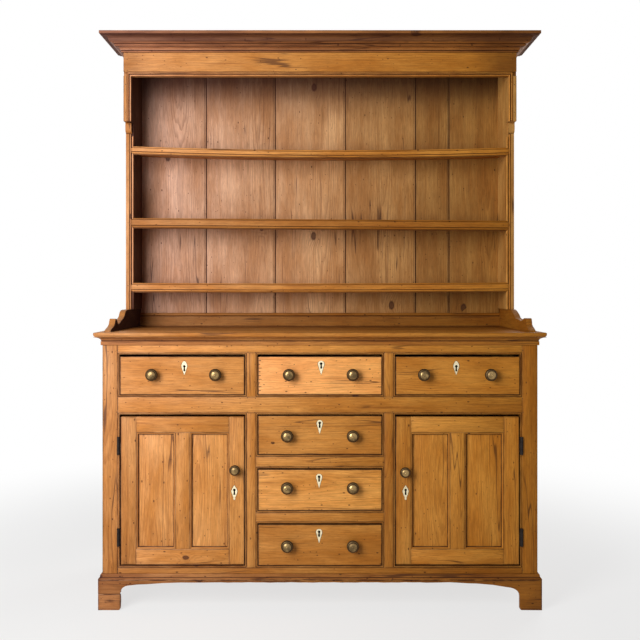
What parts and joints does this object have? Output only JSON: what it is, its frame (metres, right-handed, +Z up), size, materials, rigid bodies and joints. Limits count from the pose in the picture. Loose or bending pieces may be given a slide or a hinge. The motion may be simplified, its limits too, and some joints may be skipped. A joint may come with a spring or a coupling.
{
  "type": "welsh dresser",
  "caption": "Pine dresser: an open plate rack with cornice and scrolled gallery on a base with drawers and a panelled cupboard on each side, standing on bracket feet.",
  "frame": {"origin": "on the floor, at the middle of the dresser's bounding box seen from above", "axes": "+Z up, the front with its drawers and doors faces -Y, +X to the right seen from the front"},
  "size_m": [1.614, 0.508, 2.031],
  "materials": {
    "pine": "waxed honey pine with a soft satin polish, knots and old dents",
    "dark_pine": "darker waxed pine on the mouldings",
    "back_pine": "duller waxed pine boards",
    "drawer_pine": "bare inner pine, unpolished",
    "brass": "turned brass with a dull brown patina",
    "iron": "blackened iron",
    "bone": "inlaid bone, slightly yellowed"
  },
  "bodies": {
    "carcass": {"rack_side_left": "pine", "rack_side_right": "pine", "rack_frieze": "pine", "rack_cornice": "dark_pine", "rack_top_board": "pine", "rack_shelf_top": "pine", "rack_shelf_middle": "pine", "rack_shelf_bottom": "pine", "rack_back_boards": "back_pine", "gallery_left": "pine", "gallery_right": "pine", "gallery_back": "pine", "worktop": "pine", "worktop_moulding": "dark_pine", "base_side_left": "pine", "base_side_right": "pine", "base_face_frame": "pine", "base_floor": "drawer_pine", "base_back": "back_pine", "base_partition_left": "pine", "base_partition_right": "pine", "plinth": "pine", "hinge_left_upper_frame_leaf": "iron", "hinge_left_lower_frame_leaf": "iron", "hinge_right_upper_frame_leaf": "iron", "hinge_right_lower_frame_leaf": "iron"},
    "drawer_top_left": {"drawer_top_left_front": "pine", "drawer_top_left_box": "drawer_pine", "knob_top_left_left": "brass", "knob_top_left_right": "brass"},
    "drawer_top_centre": {"drawer_top_centre_front": "pine", "drawer_top_centre_box": "drawer_pine", "knob_top_centre_left": "brass", "knob_top_centre_right": "brass"},
    "drawer_top_right": {"drawer_top_right_front": "pine", "drawer_top_right_box": "drawer_pine", "knob_top_right_left": "brass", "knob_top_right_right": "brass"},
    "drawer_second": {"drawer_second_front": "pine", "drawer_second_box": "drawer_pine", "knob_second_left": "brass", "knob_second_right": "brass"},
    "drawer_third": {"drawer_third_front": "pine", "drawer_third_box": "drawer_pine", "knob_third_left": "brass", "knob_third_right": "brass"},
    "drawer_fourth": {"drawer_fourth_front": "pine", "drawer_fourth_box": "drawer_pine", "knob_fourth_left": "brass", "knob_fourth_right": "brass"},
    "door_left": {"door_left_frame": "pine", "door_left_panel": "pine", "knob_door_left": "brass", "hinge_left_upper_door_leaf": "iron", "hinge_left_lower_door_leaf": "iron"},
    "door_right": {"door_right_frame": "pine", "door_right_panel": "pine", "knob_door_right": "brass", "hinge_right_upper_door_leaf": "iron", "hinge_right_lower_door_leaf": "iron"}
  },
  "joints": [
    {"name": "drawer_top_left_slide", "type": "slide", "parent": "carcass", "child": "drawer_top_left", "axis": [0, -1, 0], "range_m": [0, 0.3]},
    {"name": "drawer_top_centre_slide", "type": "slide", "parent": "carcass", "child": "drawer_top_centre", "axis": [0, -1, 0], "range_m": [0, 0.3]},
    {"name": "drawer_top_right_slide", "type": "slide", "parent": "carcass", "child": "drawer_top_right", "axis": [0, -1, 0], "range_m": [0, 0.3]},
    {"name": "drawer_second_slide", "type": "slide", "parent": "carcass", "child": "drawer_second", "axis": [0, -1, 0], "range_m": [0, 0.3]},
    {"name": "drawer_third_slide", "type": "slide", "parent": "carcass", "child": "drawer_third", "axis": [0, -1, 0], "range_m": [0, 0.3]},
    {"name": "drawer_fourth_slide", "type": "slide", "parent": "carcass", "child": "drawer_fourth", "axis": [0, -1, 0], "range_m": [0, 0.3]},
    {"name": "door_left_hinge", "type": "hinge", "parent": "carcass", "child": "door_left", "pos_m": [-0.6845, -0.2175, 0.4], "axis": [0, 0, -1], "range_deg": [0, 100]},
    {"name": "door_right_hinge", "type": "hinge", "parent": "carcass", "child": "door_right", "pos_m": [0.6845, -0.2175, 0.4], "axis": [0, 0, 1], "range_deg": [0, 100]}
  ]
}
